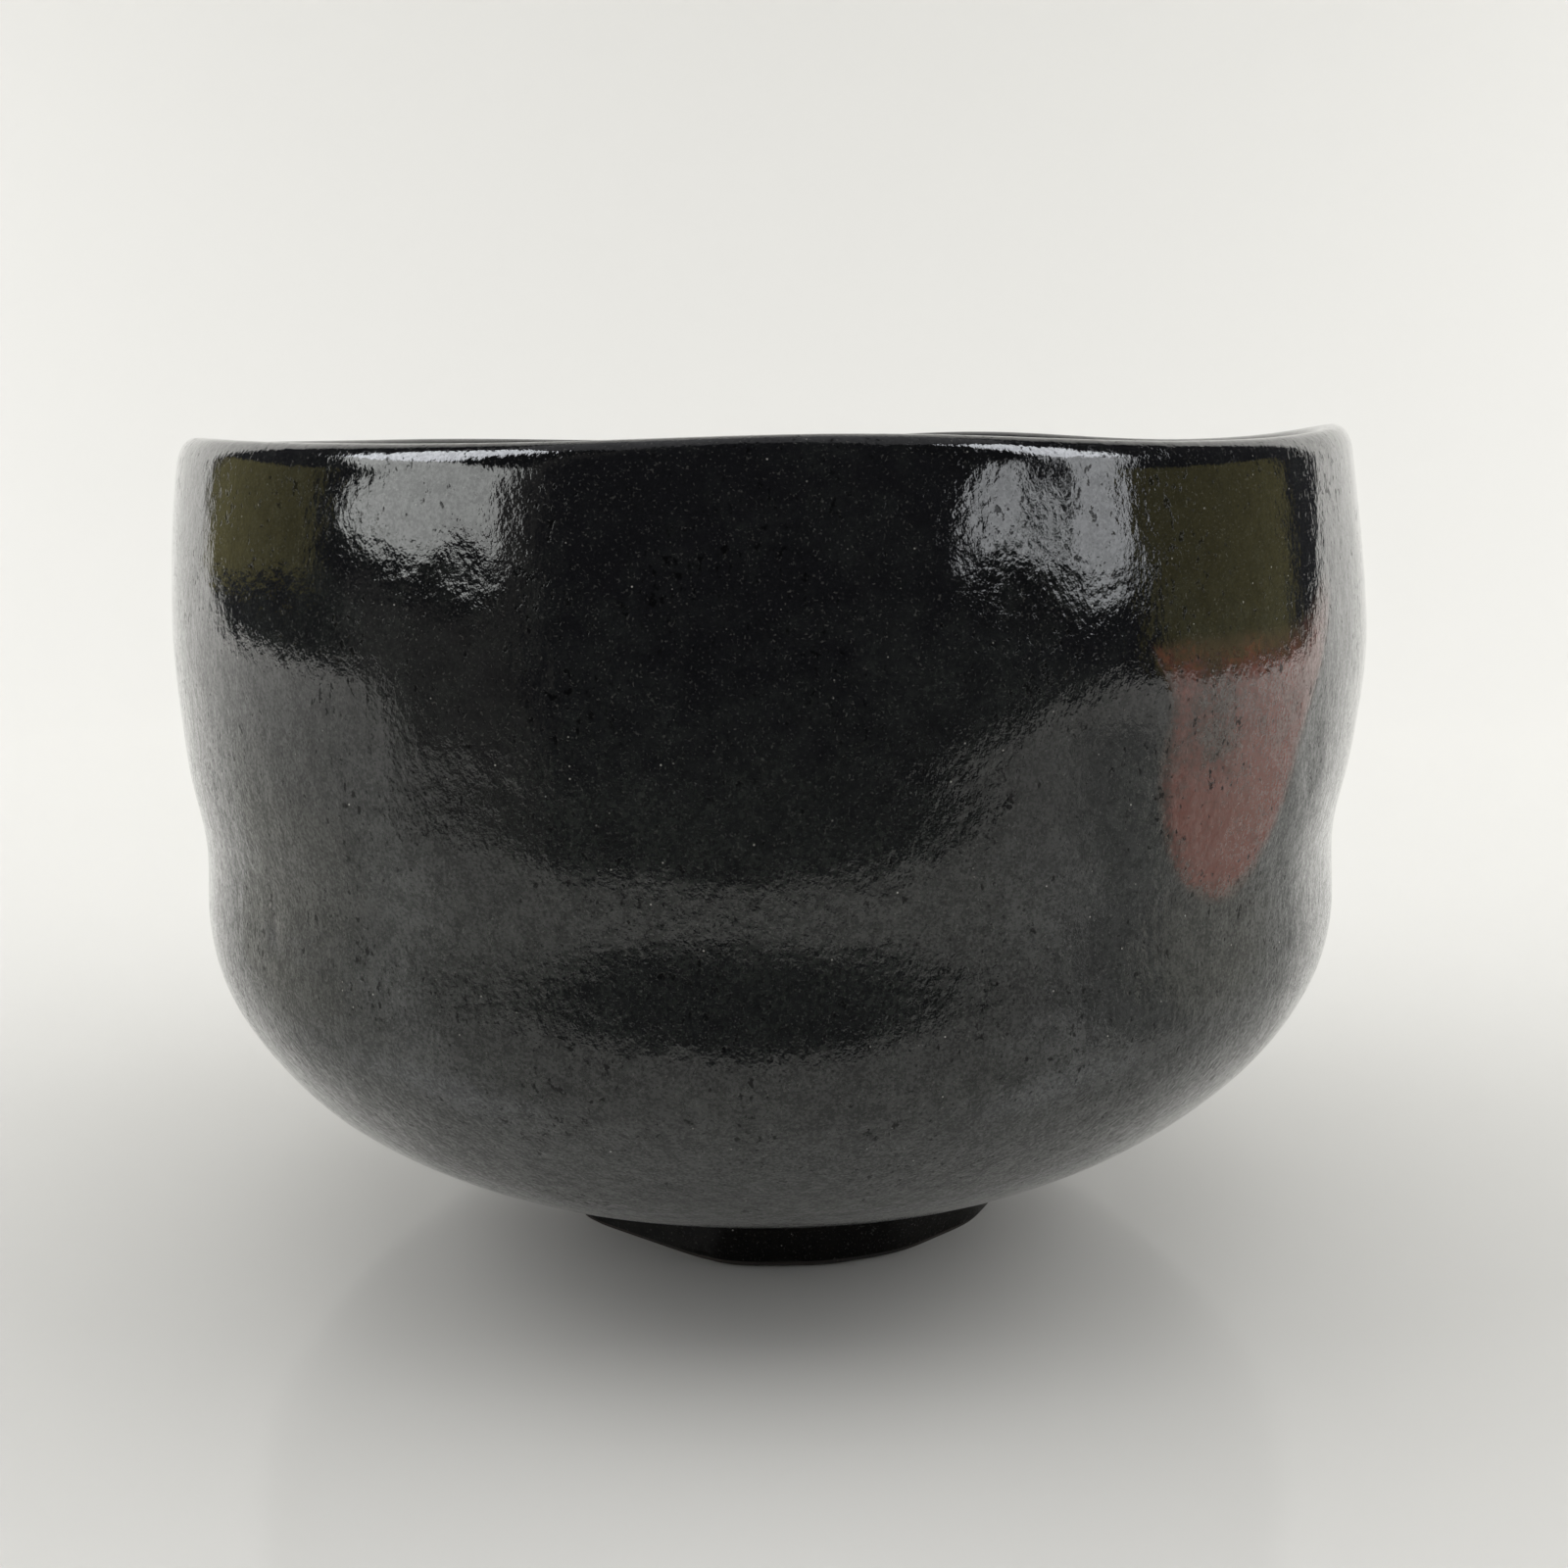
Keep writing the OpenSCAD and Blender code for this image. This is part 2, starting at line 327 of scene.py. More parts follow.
print("a closed grid of 3 by 4 points has", len(grid_faces(3, 4, True)), "faces")

# %% Objects from grids
CREASE = math.radians(55)


def placed(name, data):
    """An object of this data, put in the scene."""
    thing = bpy.data.objects.new(name, data)
    bpy.context.scene.collection.objects.link(thing)
    return thing


def make_mesh(name, points, quads, triangles=None):
    """A smooth-shaded object of these points, in drawn millimetres, with its faces outwards."""
    triangles = np.zeros((0, 3), int) if triangles is None else triangles
    halves = np.vstack([quads[:, [0, 1, 2]], quads[:, [0, 2, 3]], triangles])
    if volume_sign(points, halves) < 0:
        quads, triangles = quads[:, ::-1], triangles[:, ::-1]
    mesh = bpy.data.meshes.new(name)
    loops = np.concatenate([quads.ravel(), triangles.ravel()])
    totals = np.concatenate([np.full(len(quads), 4), np.full(len(triangles), 3)])
    mesh.vertices.add(len(points))
    mesh.vertices.foreach_set("co", (points * MM).astype(np.float32).ravel())
    mesh.loops.add(len(loops))
    mesh.loops.foreach_set("vertex_index", loops.astype(np.int32))
    mesh.polygons.add(len(totals))
    mesh.polygons.foreach_set("loop_start", (np.cumsum(totals) - totals).astype(np.int32))
    mesh.polygons.foreach_set("loop_total", totals.astype(np.int32))
    mesh.polygons.foreach_set("use_smooth", np.ones(len(totals), bool))
    mesh.update(calc_edges=True)
    mesh.validate()
    mesh.set_sharp_from_angle(angle=CREASE)
    print(f"{name}: {len(points)} points, {2 * len(quads) + len(triangles)} triangles")
    return placed(name, mesh)


def skin(name, grid):
    """A skin whose section is a closed loop: grid is (rows, columns, 3), and both ways round close."""
    rows, columns, _ = grid.shape
    return make_mesh(name, grid.reshape(-1, 3), grid_faces(rows, columns, True))


def turned(name, start, grid, end):
    """A solid of a grid whose columns close, with a pole point at each end."""
    rows, columns, _ = grid.shape
    points = np.vstack([[start], grid.reshape(-1, 3), [end]])
    quads = grid_faces(rows, columns, False) + 1
    fans = np.vstack([
        fan_faces(0, 1, columns, False),
        fan_faces(len(points) - 1, 1 + (rows - 1) * columns, columns, True),
    ])
    return make_mesh(name, points, quads, fans)


def angles_round(count):
    """Directions in degrees, evenly round the bowl."""
    return np.arange(count) * 360.0 / count


def offset(line, by):
    """The line moved by this much square to itself, to the left of the way it runs."""
    way = np.gradient(line, axis=0)
    normal = np.stack([-way[:, 1], way[:, 0]], 1)
    return line + by * normal / np.linalg.norm(normal, axis=1, keepdims=True)


def off_axis(line, gap):
    """The line without its points nearer the axis than gap, which a pole's fan closes."""
    return line[line[:, 0] > gap]


print("meshes take their normals apart at edges sharper than", round(math.degrees(CREASE)), "degrees")


# %% [markdown]
# ## Where the red flash lies
# When the glowing bowl is pulled from the kiln, the spot that the flame or the tongs touched turns from
# black to red. On this bowl the flash is a horseshoe on the right of the front: two arms reach up
# towards the lip and join at the bottom, round a tongue of olive black. Two things need its place. The
# flash is an inlay in the coat, so the coat has a shallow bed under it. And its colour strays past the
# inlay's edge, so both read the same map of redness. The outline is a closed spline, and a point's
# share of the way from the middle to the outline says where it lies: 0 in the middle, 1 on the outline.

# %% Outline, bed and redness
FLASH_ANGLE, FLASH_HEIGHT = -48.0, 56.0
FLASH_OUTLINE = np.array([
    [-14, 65], [-11, 60], [-11.5, 54], [-10, 48], [-6, 43.5], [-1, 42], [3, 44.5],
    [6, 50], [8.5, 57], [12, 63], [13.5, 69], [10, 72], [2, 70], [-7, 69],
], float)
OUTLINE_STEPS = 16
FLASH_T = 0.3
BED_GAP = 0.07
BED_REACH = 0.84

flash_middle = np.array([0.0, FLASH_HEIGHT])
flash_edge = spline(np.vstack([FLASH_OUTLINE, FLASH_OUTLINE[:1]]), OUTLINE_STEPS)[:-1]
edge_way = flash_edge - flash_middle
edge_bearing = np.arctan2(edge_way[:, 1], edge_way[:, 0])
edge_order = np.argsort(edge_bearing)
edge_bearing = edge_bearing[edge_order]
edge_distance = np.hypot(*edge_way[edge_order].T)


def across_flash(angle):
    """Millimetres round the wall from the flash's middle."""
    return np.radians(turn(angle, FLASH_ANGLE)) * BELLY_R


def flash_share(across, z):
    """Distance from the flash's middle as a share of the outline's distance on the same bearing."""
    bearing = np.arctan2(z - FLASH_HEIGHT, across)
    reach = np.interp(bearing, edge_bearing, edge_distance, period=2 * math.pi)
    return np.hypot(across, z - FLASH_HEIGHT) / reach


def flash_bed(angle, z):
    """Depth of the bed: the flash's thickness, falling with the sixth power of the share of the way to
    the bed's edge, which lies at BED_REACH of the outline, so that the flash laps over it."""
    share = flash_share(across_flash(angle), z) / BED_REACH
    return np.where(share < 1.0, FLASH_T * (1 - share**6) + BED_GAP, 0.0)


def redness(angle, z):
    """Soft-edged share inside the outline, cut off under the lip, less the tongue between the arms."""
    across = across_flash(angle)
    inside_edge = 1 - fade(flash_share(across, z), 0.80, 1.05)
    top = 64.5 + 4.0 * np.exp(-((across - 12.0) / 3.5) ** 2)
    under_top = 1 - fade(z, top - 3.5, top + 1.5)
    tongue = np.exp(-((across + 5.5) / 3.6) ** 2 - ((z - 58.0) / 5.0) ** 4)
    return inside_edge * under_top * (1 - 0.6 * tongue) * (1 - 0.3 * fade(z, 48.0, 64.0))


print(f"the flash spans {np.ptp(flash_edge[:, 0]):.0f} by {np.ptp(flash_edge[:, 1]):.0f} mm")

# %% [markdown]
# ## The outside coat
# The black glaze runs from the foot up the wall and over the lip to its crest, where it meets the
# lining. It is a skin: its section is a loop, up the face that shows and down the face that lies on the
# clay. The face that shows gets rows close enough to carry the bands and waves, and closer still at
# the bead under the lip. The face on the clay is never seen, so it gets few.

# %% Make the outside coat
OUTSIDE_COLUMNS = 480
LIP_ZONE = 7.0
WALL_GAP, LIP_GAP = 0.8, 0.25
LIP_STEPS = 40


def outside_rows():
    """Rows of the face that shows: WALL_GAP apart up the wall, LIP_GAP apart near the lip and over it."""
    wall = evenly(outer_wall, 0.1)
    split = int(np.searchsorted(wall[:, 1], BOWL_H - LIP_ZONE))
    return np.vstack([
        evenly(wall[:split], WALL_GAP)[:-1],
        evenly(np.vstack([wall[split - 1:], lip_arc(0, 90, LIP_STEPS)[1:]]), LIP_GAP),
    ])


outside = outside_rows()
# The clay's crest lies straight below the lip's, so that both coats end on one line
CREST = outside[-1]
clay_outside = np.vstack([offset(outside, GLAZE_T)[:-3], CREST - [0, GLAZE_T]])
# The face on the clay gets every eighth row, from the lip down
hidden_outside = clay_outside[::-8]
outside_angles = angles_round(OUTSIDE_COLUMNS)
face_grid = shaped(outside, outside_angles, 1.0)
bed_depth = flash_bed(outside_angles[None, :], outside[:, 1:])
face_grid[..., :2] *= 1 - (bed_depth / np.linalg.norm(face_grid[..., :2], axis=2))[..., None]
coat_grid = np.vstack([face_grid, shaped(hidden_outside, outside_angles)])
outer_coat = skin("outer_coat", coat_grid)

# %% [markdown]
# ## The clay body
# The clay is never seen, except at the rim of the foot, but it is what the bowl is made of. It is one
# turned solid: from the middle of its underside, out to the foot's edge, up behind the outside coat,
# over under the lip, and down behind the lining to the middle of the tea pool.

# %% Make the clay body
BOSS_R, BOSS_H = 6.0, 1.2
CLAY_COLUMNS = 180

CLAY_GAP = 1.5
inside = np.vstack([lip_arc(90, 180, LIP_STEPS)[:-1], inner_wall])
clay_inside = np.vstack([CREST - [0, GLAZE_T], offset(evenly(inside, CLAY_GAP), GLAZE_T)[2:-1]])
clay_inside = off_axis(clay_inside, 0.5)
clay_profile = np.vstack([
    [[BOSS_R * 0.5, FOOT_H - BOSS_H * 0.75], [BOSS_R, FOOT_H], FOOT_EDGE],
    clay_outside[:-1:3],
    clay_inside,
])


def pool_point(depth):
    """The middle of the tea pool, this far below its face."""
    return shaped(np.array([POOL_CENTRE - [0, depth]]), np.array([0.0]))[0, 0]


clay_body = turned(
    "clay_bowl",
    [FOOT_SHIFT, 0, FOOT_H - BOSS_H],
    shaped(clay_profile, angles_round(CLAY_COLUMNS)),
    pool_point(GLAZE_T),
)

# %% [markdown]
# ## The lining
# The inside coat runs from the crest of the lip down to the tea pool, the small round hollow where the
# last of the tea gathers. It crosses the axis twice, once on the face that shows and once on the clay,
# so it is a turned solid too. The whisk rubs here, so its waviness is gentler than the outside's.

# %% Make the lining
LINING_COLUMNS = 360
LINING_GAP = 0.55
LINING_WAVES = 0.6

lining_angles = angles_round(LINING_COLUMNS)
# The face on the clay gets every fourth row of the clay's, from the pool up
lining_grid = np.vstack([
    shaped(clay_inside[::-4], lining_angles),
    shaped(off_axis(evenly(inside, LINING_GAP), 0.4), lining_angles, LINING_WAVES),
])
lining = turned("lining", pool_point(GLAZE_T), lining_grid, pool_point(0.0))

# %% [markdown]
# ## The red flash
# The inlay is a lens in the bed. Its grid runs from the middle to the outline, along the spokes, and its
# face is the coat's own face a hundredth of a millimetre out. At its rim it dips under the coat's face,
# so that no step shows between the two.

# %% Make the red flash
FLASH_PROUD = 0.012
FLASH_DIP = 0.04
FLASH_RIM = 0.05
FLASH_RINGS = 40


def wall_points(across, z, outwards):
    """Points on the outside coat this far round from the flash's middle, at height z, moved outwards."""
    angle = FLASH_ANGLE + np.degrees(across / BELLY_R)
    r = np.interp(z, outside[:, 1], outside[:, 0])
    return set_out(angle, r + out_of_round(angle, z) + tooling(angle, z) + outwards, z)


share = np.linspace(0.0, 1.0, FLASH_RINGS + 1)[1:, None]
spokes = flash_middle + share[..., None] * edge_way[None]
spoke_across, spoke_height = spokes[..., 0], spokes[..., 1]
flash_front = wall_points(spoke_across, spoke_height, FLASH_PROUD - FLASH_DIP * fade(share, 0.9, 1.0))
bed_share = np.minimum(share / BED_REACH, 1.0)
flash_back = wall_points(spoke_across, spoke_height, -FLASH_T * (1 - bed_share**6) - FLASH_RIM)
red_flash = turned(
    "red_flash",
    wall_points(0.0, FLASH_HEIGHT, -FLASH_T - FLASH_RIM),
    np.vstack([flash_back[::4], flash_front[::-1]]),
    wall_points(0.0, FLASH_HEIGHT, FLASH_PROUD),
)

# %% [markdown]
# ## The foot
# The foot ring is carved from the same clay with a bamboo knife: a low ring that spreads a little
# towards its top, with one flat where the knife slipped, a well inside it, and a small boss left in the
# middle of the well. A knife leaves facets and soft corners, which a plain cylinder doesn't have, so the
# ring is a skin with a rounded section, pared by a formula. Two thin coats cover it, one on its side
# and one in the well, and both stop a little above the table, so that the bowl stands on bare clay.

# %% Make the foot ring and its coats
FOOT_R, FOOT_FLARE, WELL_R, WELL_TAPER = 24.25, 0.7, 18.25, 1.0
PARED_ANGLE, PARED_AT = -125.0, 22.9
WORN = 0.15
BARE_EDGE = 0.6
# The coats and the ring's top stop this far short of the clay that they meet
SEAT = 0.02
RING_INNER_CORNER, RING_OUTER_CORNER = 0.6, 0.3
FOOT_COLUMNS, FOOT_GAP = 240, 0.45
foot_angles = angles_round(FOOT_COLUMNS)


def knife(angle, z):
    """Shallow facets of the knife: a wave of 17 and one of 11 turns that drift with the height."""
    a = np.radians(angle)
    return 0.07 * np.sin(17 * a + 0.5 * z) + 0.09 * np.sin(11 * a - 0.3 * z + 2.0)


def foot_grid(profile, grown):
    """Points of a foot profile: facets on the side, cut back to the pared flat, shifted to the foot's
    middle. grown moves the flat outwards for the coat."""
    r, z = profile[:, :1], profile[:, 1:]
    angle = foot_angles[None, :]
    side = fade(r, WELL_R + 1.5, FOOT_R - 1.0)
    radius = r + side * knife(angle, z)
    facing = np.maximum(np.cos(np.radians(turn(angle, PARED_ANGLE))), 0.05)
    flat = (PARED_AT + grown) / facing
    # Smooth minimum of the two, so that the corner of the flat is a little worn
    pared = -WORN * np.logaddexp(-radius / WORN, -flat / WORN)
    radius = np.where(r > WELL_R + 1.5, pared, radius)
    a = np.radians(angle)
    x = radius * np.cos(a) + FOOT_SHIFT
    return np.stack(np.broadcast_arrays(x, radius * np.sin(a), z), 2)


def corner(r, z, size, start, end):
    """Quarter round of this size about (r, z), in six points."""
    a = np.radians(np.linspace(start, end, 6))
    return np.stack([r + size * np.cos(a), z + size * np.sin(a)], 1)


ring_profile = np.vstack([
    corner(WELL_R + RING_INNER_CORNER, RING_INNER_CORNER, RING_INNER_CORNER, 180, 270),
    corner(FOOT_R - RING_OUTER_CORNER, RING_OUTER_CORNER, RING_OUTER_CORNER, 270, 360),
    [[FOOT_R + FOOT_FLARE * 0.5, FOOT_H * 0.5], [FOOT_TOP_R, FOOT_H - SEAT]],
    [[WELL_R - WELL_TAPER, FOOT_H - SEAT], [WELL_R - WELL_TAPER * 0.5, FOOT_H * 0.5]],
])
ring_loop = evenly(np.vstack([ring_profile, ring_profile[:1]]), FOOT_GAP)[:-1]
clay_ring = skin("clay_foot_ring", foot_grid(ring_loop, 0.0))

side_face = np.array([
    [FOOT_R + FOOT_FLARE * BARE_EDGE / FOOT_H, BARE_EDGE],
    [FOOT_TOP_R, FOOT_H - SEAT],
])
# The coat's lower edge is drawn in and up a little, as a wiped edge is
wiped = [[-WORN, WORN], [0, 0]]
side_coat = np.vstack([
    evenly(side_face + [GLAZE_T, 0.0] + wiped, FOOT_GAP),
    evenly(side_face[::-1] + [SEAT, 0.0], 1.2),
])
foot_coat = skin("foot_coat", foot_grid(side_coat, GLAZE_T))

# %% Make the coat in the well
WELL_MIDDLE = [FOOT_SHIFT, 0.0]
WELL_COLUMNS = 160
WELL_CORNER = 1.2
SPIRAL, SPIRAL_PITCH = 0.05, 3.2


def well_line(inset, start):
    """Profile of the well from the wall's lower edge to its middle, inset from the clay."""
    wall_low = WELL_R - WELL_TAPER * start / FOOT_H - inset
    wall_top = WELL_R - WELL_TAPER - inset
    ceiling = FOOT_H - inset
    boss = np.radians(np.linspace(0, 180, 13))[:-1]
    return np.vstack([
        [[wall_low, start], [wall_top, ceiling - WELL_CORNER]],
        corner(wall_top - WELL_CORNER, ceiling - WELL_CORNER, WELL_CORNER, 0, 90),
        np.stack([BOSS_R - boss / math.pi * BOSS_R, ceiling - BOSS_H * (1 - np.cos(boss)) / 2], 1),
    ])


def well_grid(profile):
    """Points of a well profile, turned about the foot's middle, with a slight spiral from the knife."""
    r, z = profile[:, :1], profile[:, 1:]
    a = np.radians(angles_round(WELL_COLUMNS))[None, :]
    spiral = SPIRAL * np.sin(2 * math.pi * r / SPIRAL_PITCH - a) * fade(z, 3.5, 5.0) * fade(r, 0.0, 3.0)
    x = r * np.cos(a) + FOOT_SHIFT
    return np.stack(np.broadcast_arrays(x, r * np.sin(a), z + spiral), 2)


well_out = evenly(well_line(GLAZE_T, BARE_EDGE + 0.15), 0.5)
well_in = evenly(well_line(SEAT, BARE_EDGE), 1.0)
well_coat = turned(
    "well_coat",
    WELL_MIDDLE + [FOOT_H - GLAZE_T - BOSS_H],
    well_grid(np.vstack([off_axis(well_out, 0.4)[::-1], off_axis(well_in, 0.4)])),
    WELL_MIDDLE + [FOOT_H - SEAT - BOSS_H],
)

# %% [markdown]
# ## Redness on the mesh
# The redness map is worked out once for every point of the coat and of the inlay, and stored on them as
# an attribute that the glaze reads. That keeps one formula for both meshes, and the material only has
# to break its edge up with noise.

# %% Store the redness


def store(piece, name, values):
    """Puts one number on each point of the piece."""
    layer = piece.data.attributes.new(name, "FLOAT", "POINT")
    layer.data.foreach_set("value", np.ascontiguousarray(values, np.float32).ravel())


coat_red = np.zeros(coat_grid.shape[:2])
coat_red[: len(outside)] = redness(outside_angles[None, :], outside[:, 1:])
store(outer_coat, "redness", coat_red)

flash_points = np.zeros(len(red_flash.data.vertices) * 3)
red_flash.data.vertices.foreach_get("co", flash_points)
flash_points = flash_points.reshape(-1, 3) / MM
flash_angles = np.degrees(np.arctan2(flash_points[:, 1], flash_points[:, 0]))
flash_heights = flash_points[:, 2] - rim_lift(flash_angles, flash_points[:, 2])
store(red_flash, "redness", redness(flash_angles, flash_heights))
print("red points on the coat:", int((coat_red > 0.3).sum()))

# %% [markdown]
# ## What a raku glaze looks like close up
# Seen in the hand the glaze isn't smooth. It froze while it was still bubbling, so its skin is pebbled
# like the peel of a citrus fruit, with dips a third to one millimetre across and swarms of torn pits,
# and it is sown with pores too fine to see. The reflection of a window on it is sharp in the middle and
# ragged at the edge. All that is too small for the mesh, so the pebbles are a bump, and the pits and
# pores break the gloss. Every coat on the bowl has them, so they are shader node groups, built once,
# with each coat's own values.

# %% Node helpers


class Nodes:
    """Short ways to add nodes to a tree and to join them."""

    def __init__(self, tree):
        self.tree = tree

    def fill(self, node, inputs):
        """Fills sockets, by name or number, each with a value or with a link to another's socket."""
        for socket, value in inputs.items():
            if isinstance(value, bpy.types.NodeSocket):
                self.tree.links.new(value, node.inputs[socket])
            else:
                node.inputs[socket].default_value = value
        return node

    def add(self, kind, inputs=None, **settings):
        """A node of this kind with these inputs and settings."""
        node = self.tree.nodes.new(kind)
        for name, value in settings.items():
            setattr(node, name, value)
        return self.fill(node, inputs or {})

    def math(self, operation, a, b=0.0, clamp=False):
        """One sum of two values."""
        return self.add("ShaderNodeMath", {0: a, 1: b}, operation=operation, use_clamp=clamp).outputs[0]

    def noise(self, vector, size, detail=2.0, roughness=0.5, distortion=0.0):
        """Noise whose lumps are about this many drawn millimetres wide."""
        return self.add("ShaderNodeTexNoise", {
            "Vector": vector, "Scale": 1.0 / (size * MM), "Detail": detail, "Roughness": roughness,
            "Distortion": distortion,
        }).outputs["Fac"]

    def ramp(self, value, low, high, to_low=0.0, to_high=1.0):
        """Smooth step of a value from low to high."""
        inputs = {"Value": value, 1: low, 2: high, 3: to_low, 4: to_high}
        return self.add("ShaderNodeMapRange", inputs, interpolation_type="SMOOTHSTEP").outputs[0]

    def mix(self, share, a, b):
        """Colour a where share is 0, colour b where it is 1."""
        return self.add("ShaderNodeMix", {0: share, 6: a, 7: b}, data_type="RGBA").outputs[2]


def blank(thing):
    """Gives a material or a world an empty node tree; returns its nodes."""
    thing.use_nodes = True
    thing.node_tree.nodes.clear()
    return Nodes(thing.node_tree)


def new_group(name, inputs, outputs):
    """A shader node group with these named sockets; returns its nodes, its input and its output."""
    group = bpy.data.node_groups.new(name, "ShaderNodeTree")
    for label, kind, value in inputs:
        socket = group.interface.new_socket(label, in_out="INPUT", socket_type=kind)
        if value is not None:
            socket.default_value = value
    for label, kind in outputs:
        group.interface.new_socket(label, in_out="OUTPUT", socket_type=kind)
    nodes = Nodes(group)
    return group, nodes, nodes.add("NodeGroupInput"), nodes.add("NodeGroupOutput")


print("node helpers:", [name for name in vars(Nodes) if not name.startswith("_")])

# %% Citrus-skin group


def citrus_skin():
    """Height of the pebbled skin: three sizes of noise added, less the pits, all drawn out upwards. A pit
    is where a noise passes a limit, and slow noise moves that limit, so that pits come in swarms. Gloss
    is what the pits and the pores leave: pores are where fine grit and larger clots of noise add up to
    little, and they wear the gloss more where the skin is Coarse."""
    group, n, given, made = new_group(
        "citrus_skin",
        [
            ("Place", "NodeSocketVector", None), ("Streak", "NodeSocketFloat", 0.6),
            ("Pits", "NodeSocketFloat", 1.0), ("Coarse", "NodeSocketFloat", 0.0),
        ],
        [("Height", "NodeSocketFloat"), ("Pits", "NodeSocketFloat"), ("Gloss", "NodeSocketFloat")],
    )
    whole, coarse = given.outputs["Place"], given.outputs["Coarse"]
    squeeze = n.add("ShaderNodeCombineXYZ", {0: 1.0, 1: 1.0, 2: given.outputs["Streak"]}).outputs[0]
    place = n.add("ShaderNodeVectorMath", {0: whole, 1: squeeze}, operation="MULTIPLY").outputs[0]
    fine = n.noise(place, 0.32, 2.0, 0.6)
    middling = n.noise(place, 1.0, 1.0, 0.5)
    broad = n.noise(place, 3.4, 1.0, 0.5)
    swarm = n.math("MULTIPLY", n.math("SUBTRACT", n.noise(place, 7.0, 2.0), 0.5), 0.30)
    torn = n.math("ADD", n.noise(place, 0.60, 3.0, 0.62), swarm)
    pits = n.math("MULTIPLY", n.ramp(torn, 0.62, 0.69), given.outputs["Pits"])
    pebbles = n.math("ADD", n.math("MULTIPLY", fine, 0.28), n.math("MULTIPLY", middling, 0.5))
    grown = n.math("MULTIPLY", pebbles, n.math("ADD", n.math("MULTIPLY", coarse, 1.6), 1.0))
    rolling = n.math("ADD", grown, n.math("MULTIPLY", broad, 1.1))
    height = n.math("SUBTRACT", rolling, n.math("MULTIPLY", pits, 0.16))
    grit = n.math("MULTIPLY", n.noise(whole, 0.28, 2.0, 0.6), 0.62)
    clots = n.math("MULTIPLY", n.noise(whole, 1.5, 3.0, 0.65), 0.38)
    pores = n.ramp(n.math("ADD", grit, clots), 0.58, 0.42)
    worn = n.math("MULTIPLY", pores, n.math("ADD", n.math("MULTIPLY", coarse, 0.42), 0.28))
    gloss = n.math("MULTIPLY", n.math("SUBTRACT", 1.0, pits), n.math("SUBTRACT", 1.0, worn))
    n.fill(made, {"Height": height, "Pits": pits, "Gloss": gloss})
    return group


CITRUS_SKIN = citrus_skin()
print("group:", CITRUS_SKIN.name)

# %% [markdown]
# ## The colour of the black
# The black isn't one black. Where the glaze lies thick it is nearly colourless, and where it ran thin,
# low on the wall, it is a greenish grey. Both are grainy: fine dark and light grains lie close together,
# and pale specks of unmelted stone a tenth of a millimetre wide lie far apart. Its gloss changes too:
# fire left the upper wall clear, and the thin glaze of the lower wall hazy.

# %% Black glaze group


def black_clouds():
    """Colour from thick to thin by clouds and grain, with pale specks, and haze by the same clouds.
    Thinness from 0 to 1 says how thin the glaze is on the whole."""
    group, n, given, made = new_group(
        "black_clouds",
        [
            ("Place", "NodeSocketVector", None), ("Thinness", "NodeSocketFloat", 0.5),
            ("Thick", "NodeSocketColor", (0.0022, 0.0024, 0.0028, 1)),
            ("Thin", "NodeSocketColor", (0.0185, 0.0215, 0.0185, 1)),
            ("Speck", "NodeSocketColor", (0.42, 0.41, 0.38, 1)),
        ],
        [("Color", "NodeSocketColor"), ("Haze", "NodeSocketFloat")],
    )
    place = given.outputs["Place"]
    cloud = n.math("SUBTRACT", n.noise(place, 14.0, 3.0, 0.6, 0.5), 0.5)
    mottle = n.math("SUBTRACT", n.noise(place, 2.6, 4.0, 0.65), 0.5)
    grain = n.ramp(n.noise(place, 0.36, 2.0, 0.6), 0.34, 0.68)
    patchy = n.math("ADD", n.math("MULTIPLY", cloud, 1.4), n.math("MULTIPLY", mottle, 1.5))
    bare = n.math("ADD", given.outputs["Thinness"], patchy, clamp=True)
    share = n.math("MULTIPLY", bare, n.math("ADD", n.math("MULTIPLY", grain, 0.9), 0.35), clamp=True)
    base = n.mix(share, given.outputs["Thick"], given.outputs["Thin"])
    grains = n.add("ShaderNodeTexVoronoi", {"Vector": place, "Scale": 1.0 / (0.95 * MM)})
    dot = n.ramp(grains.outputs["Distance"], 0.05, 0.10, 1.0, 0.0)
    kept = n.ramp(n.add("ShaderNodeSeparateColor", {0: grains.outputs["Color"]}).outputs[0], 0.80, 1.0)
    dust = n.math("MULTIPLY", n.ramp(n.noise(place, 0.22, 2.0), 0.58, 0.76), 0.10)
    speck = n.math("ADD", n.math("MULTIPLY", n.math("MULTIPLY", dot, kept), 0.9), dust)
    haze = n.math("MULTIPLY", bare, n.math("ADD", n.math("MULTIPLY", grain, 0.5), 0.6))
    n.fill(made, {"Color": n.mix(speck, base, given.outputs["Speck"]), "Haze": haze})
    return group


BLACK_CLOUDS = black_clouds()
print("group:", BLACK_CLOUDS.name)

# %% [markdown]
# ## The coats' material
# Each coat is one Principled shader in two layers. The lower one is the glaze's body: its colour, with
# a weak hazy gloss. Over it lies a clear coat, whose gloss is the plain reflection of glass, four parts
# in a hundred head on and nearly all of it at a glancing angle. That is what turns a black bowl silver
# at its edges in a white room, and it needs no paint. The pits and pores take the clear coat away, so
# where they crowd the window's reflection frays and the haze under it shows.

# %% Glaze material


